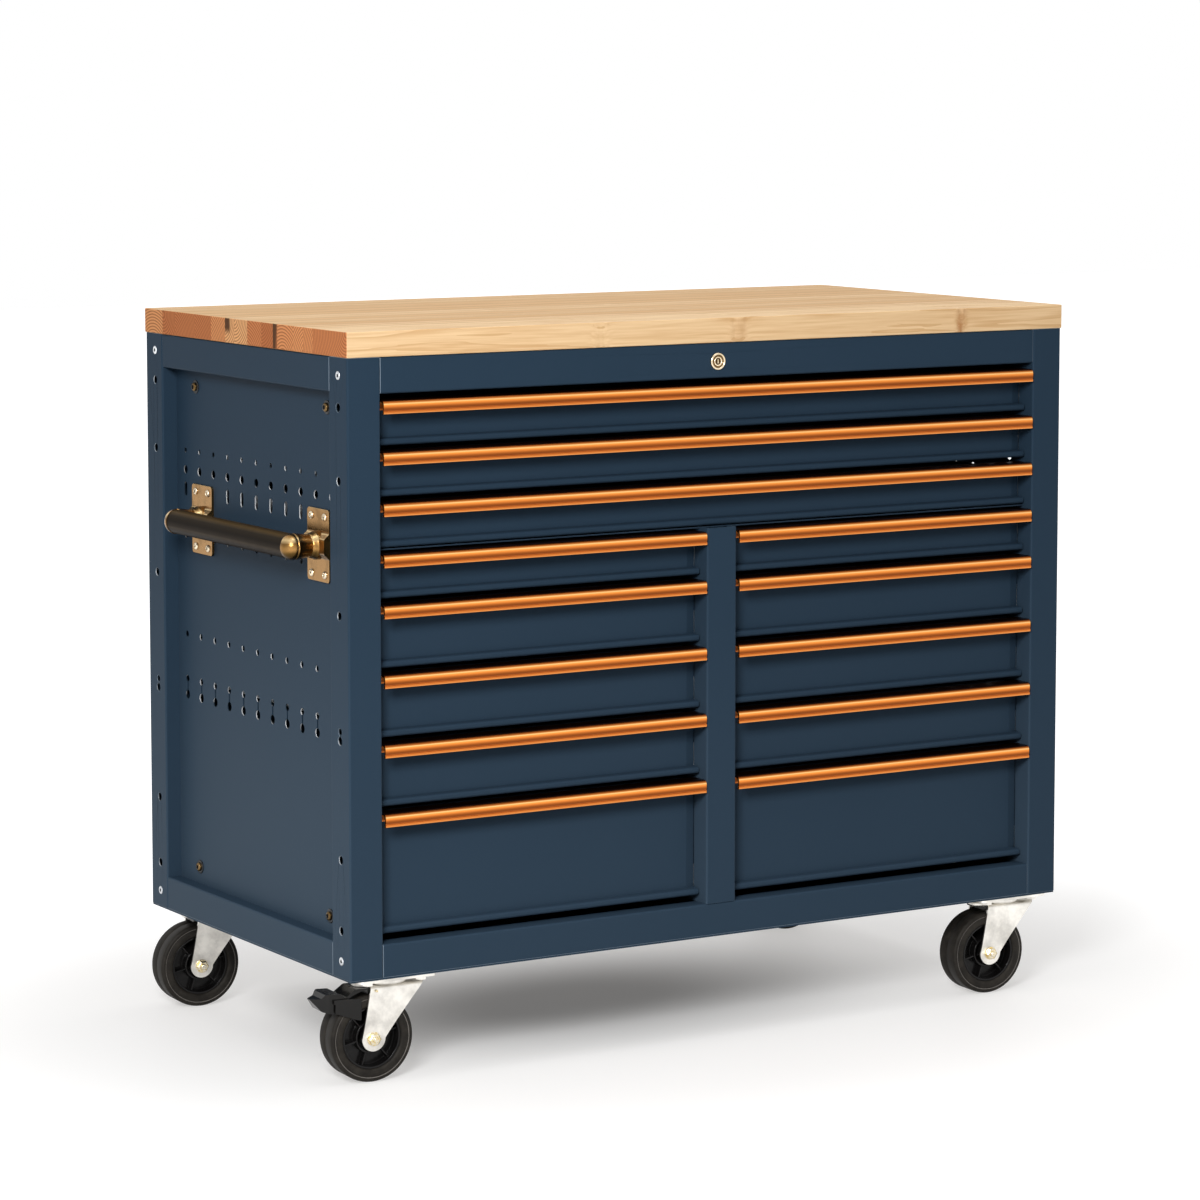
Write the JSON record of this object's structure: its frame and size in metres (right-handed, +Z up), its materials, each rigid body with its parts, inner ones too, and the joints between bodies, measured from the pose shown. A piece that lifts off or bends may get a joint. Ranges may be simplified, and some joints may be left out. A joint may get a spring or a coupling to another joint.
{
  "type": "rolling tool cabinet",
  "caption": "Rolling steel tool cabinet with a butcher-block top, full-width and paired drawers with copper pulls, a side push handle and swivel casters.",
  "frame": {"origin": "on the floor, under the centre of the bounding box", "axes": "+Z up, drawer fronts face -Y, push handle on the -X side"},
  "size_m": [1.0774, 0.5516, 0.9],
  "materials": {
    "worktop_wood": "oiled butcher block with a satin finish",
    "navy_paint": "satin powder coat",
    "pull_copper": "copper anodised, satin",
    "lock_nickel": "warm nickel",
    "handle_brass": "aged satin brass",
    "handle_dark": "dark bronze, satin",
    "screw_bright": "bright passivated",
    "rivet_bright": "bright zinc",
    "fastener_dark": "black oxide",
    "slide_zinc": "zinc plated",
    "caster_zinc": "bright zinc",
    "tyre_rubber": "matte",
    "wheel_black": "satin black",
    "pedal_black": "semi-gloss black"
  },
  "bodies": {
    "cabinet": {"worktop": "worktop_wood", "corner_posts": "navy_paint", "post_rivets": "rivet_bright", "front_rails": "navy_paint", "side_rails": "navy_paint", "left_side_panel": "navy_paint", "right_side_panel": "navy_paint", "panel_bolts": "fastener_dark", "back_panel": "navy_paint", "base_panel": "navy_paint", "centre_frame": "navy_paint", "centre_panel": "navy_paint", "fixed_slides": "slide_zinc", "top_screws": "screw_bright", "handle_tube": "handle_dark", "handle_brackets": "handle_brass", "handle_screws": "screw_bright", "lock_barrel": "lock_nickel", "caster_plates": "caster_zinc", "caster_bolts": "caster_zinc"},
    "lock": {"lock_plug": "lock_nickel"},
    "body_wide_1": {"drawer_wide_1": "navy_paint", "pull_wide_1": "pull_copper"},
    "body_wide_2": {"drawer_wide_2": "navy_paint", "pull_wide_2": "pull_copper"},
    "body_wide_3": {"drawer_wide_3": "navy_paint", "pull_wide_3": "pull_copper"},
    "body_left_1": {"drawer_left_1": "navy_paint", "pull_left_1": "pull_copper"},
    "body_right_1": {"drawer_right_1": "navy_paint", "pull_right_1": "pull_copper"},
    "body_left_2": {"drawer_left_2": "navy_paint", "pull_left_2": "pull_copper"},
    "body_right_2": {"drawer_right_2": "navy_paint", "pull_right_2": "pull_copper"},
    "body_left_3": {"drawer_left_3": "navy_paint", "pull_left_3": "pull_copper"},
    "body_right_3": {"drawer_right_3": "navy_paint", "pull_right_3": "pull_copper"},
    "body_left_4": {"drawer_left_4": "navy_paint", "pull_left_4": "pull_copper"},
    "body_right_4": {"drawer_right_4": "navy_paint", "pull_right_4": "pull_copper"},
    "body_left_5": {"drawer_left_5": "navy_paint", "pull_left_5": "pull_copper"},
    "body_right_5": {"drawer_right_5": "navy_paint", "pull_right_5": "pull_copper"},
    "swivel_front_left": {"fork_front_left": "caster_zinc"},
    "wheel_front_left": {"tyre_front_left": "tyre_rubber", "wheel_core_front_left": "wheel_black"},
    "swivel_front_right": {"fork_front_right": "caster_zinc"},
    "wheel_front_right": {"tyre_front_right": "tyre_rubber", "wheel_core_front_right": "wheel_black"},
    "swivel_rear_left": {"fork_rear_left": "caster_zinc"},
    "wheel_rear_left": {"tyre_rear_left": "tyre_rubber", "wheel_core_rear_left": "wheel_black"},
    "swivel_rear_right": {"fork_rear_right": "caster_zinc"},
    "wheel_rear_right": {"tyre_rear_right": "tyre_rubber", "wheel_core_rear_right": "wheel_black"},
    "brake": {"brake_pedal": "pedal_black"}
  },
  "joints": [
    {"name": "lock_turn", "type": "hinge", "parent": "cabinet", "child": "lock", "pos_m": [0.00925, -0.27225, 0.8465], "axis": [0, 1, 0], "range_deg": [0, 90]},
    {"name": "slide_wide_1", "type": "slide", "parent": "cabinet", "child": "body_wide_1", "axis": [0, -1, 0], "range_m": [0, 0.36]},
    {"name": "slide_wide_2", "type": "slide", "parent": "cabinet", "child": "body_wide_2", "axis": [0, -1, 0], "range_m": [0, 0.36]},
    {"name": "slide_wide_3", "type": "slide", "parent": "cabinet", "child": "body_wide_3", "axis": [0, -1, 0], "range_m": [0, 0.36]},
    {"name": "slide_left_1", "type": "slide", "parent": "cabinet", "child": "body_left_1", "axis": [0, -1, 0], "range_m": [0, 0.36]},
    {"name": "slide_right_1", "type": "slide", "parent": "cabinet", "child": "body_right_1", "axis": [0, -1, 0], "range_m": [0, 0.36]},
    {"name": "slide_left_2", "type": "slide", "parent": "cabinet", "child": "body_left_2", "axis": [0, -1, 0], "range_m": [0, 0.36]},
    {"name": "slide_right_2", "type": "slide", "parent": "cabinet", "child": "body_right_2", "axis": [0, -1, 0], "range_m": [0, 0.36]},
    {"name": "slide_left_3", "type": "slide", "parent": "cabinet", "child": "body_left_3", "axis": [0, -1, 0], "range_m": [0, 0.36]},
    {"name": "slide_right_3", "type": "slide", "parent": "cabinet", "child": "body_right_3", "axis": [0, -1, 0], "range_m": [0, 0.36]},
    {"name": "slide_left_4", "type": "slide", "parent": "cabinet", "child": "body_left_4", "axis": [0, -1, 0], "range_m": [0, 0.36]},
    {"name": "slide_right_4", "type": "slide", "parent": "cabinet", "child": "body_right_4", "axis": [0, -1, 0], "range_m": [0, 0.36]},
    {"name": "slide_left_5", "type": "slide", "parent": "cabinet", "child": "body_left_5", "axis": [0, -1, 0], "range_m": [0, 0.36]},
    {"name": "slide_right_5", "type": "slide", "parent": "cabinet", "child": "body_right_5", "axis": [0, -1, 0], "range_m": [0, 0.36]},
    {"name": "swivel_front_left", "type": "hinge", "parent": "cabinet", "child": "swivel_front_left", "pos_m": [-0.44025, -0.23225, 0.1165], "axis": [0, 0, 1], "continuous": true},
    {"name": "roll_front_left", "type": "hinge", "parent": "swivel_front_left", "child": "wheel_front_left", "pos_m": [-0.46321, -0.23085, 0.0535], "axis": [0.061, 0.9981, 0], "continuous": true},
    {"name": "swivel_front_right", "type": "hinge", "parent": "cabinet", "child": "swivel_front_right", "pos_m": [0.47275, -0.23225, 0.1165], "axis": [0, 0, 1], "continuous": true},
    {"name": "roll_front_right", "type": "hinge", "parent": "swivel_front_right", "child": "wheel_front_right", "pos_m": [0.44979, -0.23085, 0.0535], "axis": [0.061, 0.9981, 0], "continuous": true},
    {"name": "swivel_rear_left", "type": "hinge", "parent": "cabinet", "child": "swivel_rear_left", "pos_m": [-0.44025, 0.23475, 0.1165], "axis": [0, 0, 1], "continuous": true},
    {"name": "roll_rear_left", "type": "hinge", "parent": "swivel_rear_left", "child": "wheel_rear_left", "pos_m": [-0.46321, 0.23615, 0.0535], "axis": [0.061, 0.9981, 0], "continuous": true},
    {"name": "swivel_rear_right", "type": "hinge", "parent": "cabinet", "child": "swivel_rear_right", "pos_m": [0.47275, 0.23475, 0.1165], "axis": [0, 0, 1], "continuous": true},
    {"name": "roll_rear_right", "type": "hinge", "parent": "swivel_rear_right", "child": "wheel_rear_right", "pos_m": [0.44979, 0.23615, 0.0535], "axis": [0.061, 0.9981, 0], "continuous": true},
    {"name": "brake_press", "type": "hinge", "parent": "swivel_front_left", "child": "brake", "pos_m": [-0.46021, -0.23103, 0.1116], "axis": [0.061, 0.9981, 0], "range_deg": [-6, 0]}
  ]
}
